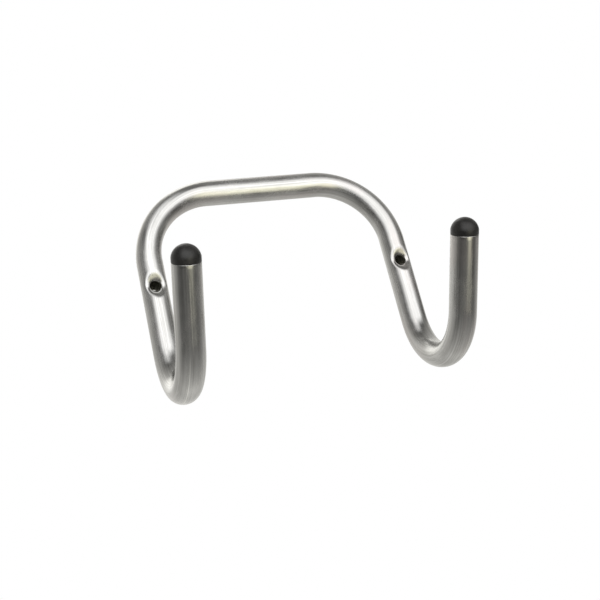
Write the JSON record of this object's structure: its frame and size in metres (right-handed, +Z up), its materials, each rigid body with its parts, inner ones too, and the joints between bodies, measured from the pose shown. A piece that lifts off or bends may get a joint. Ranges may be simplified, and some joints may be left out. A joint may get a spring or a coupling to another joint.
{
  "type": "bicycle storage hook",
  "caption": "Wall hook for storing a bicycle: a steel tube bent into a wall frame with upturned hooks, pressed screw seats in the legs and domed plugs in the open ends.",
  "frame": {"origin": "on the wall plane behind the tube, midway between the two screw holes", "axes": "+X along the top bar, +Y into the wall, +Z up; the hooks stand out towards -Y"},
  "size_m": [0.22, 0.1362, 0.191],
  "materials": {
    "plated_steel": "satin zinc plate",
    "plug_plastic": "moulded matte"
  },
  "bodies": {
    "root": {"hook_tube": "plated_steel", "end_plug_left": "plug_plastic", "end_plug_right": "plug_plastic"}
  },
  "joints": []
}
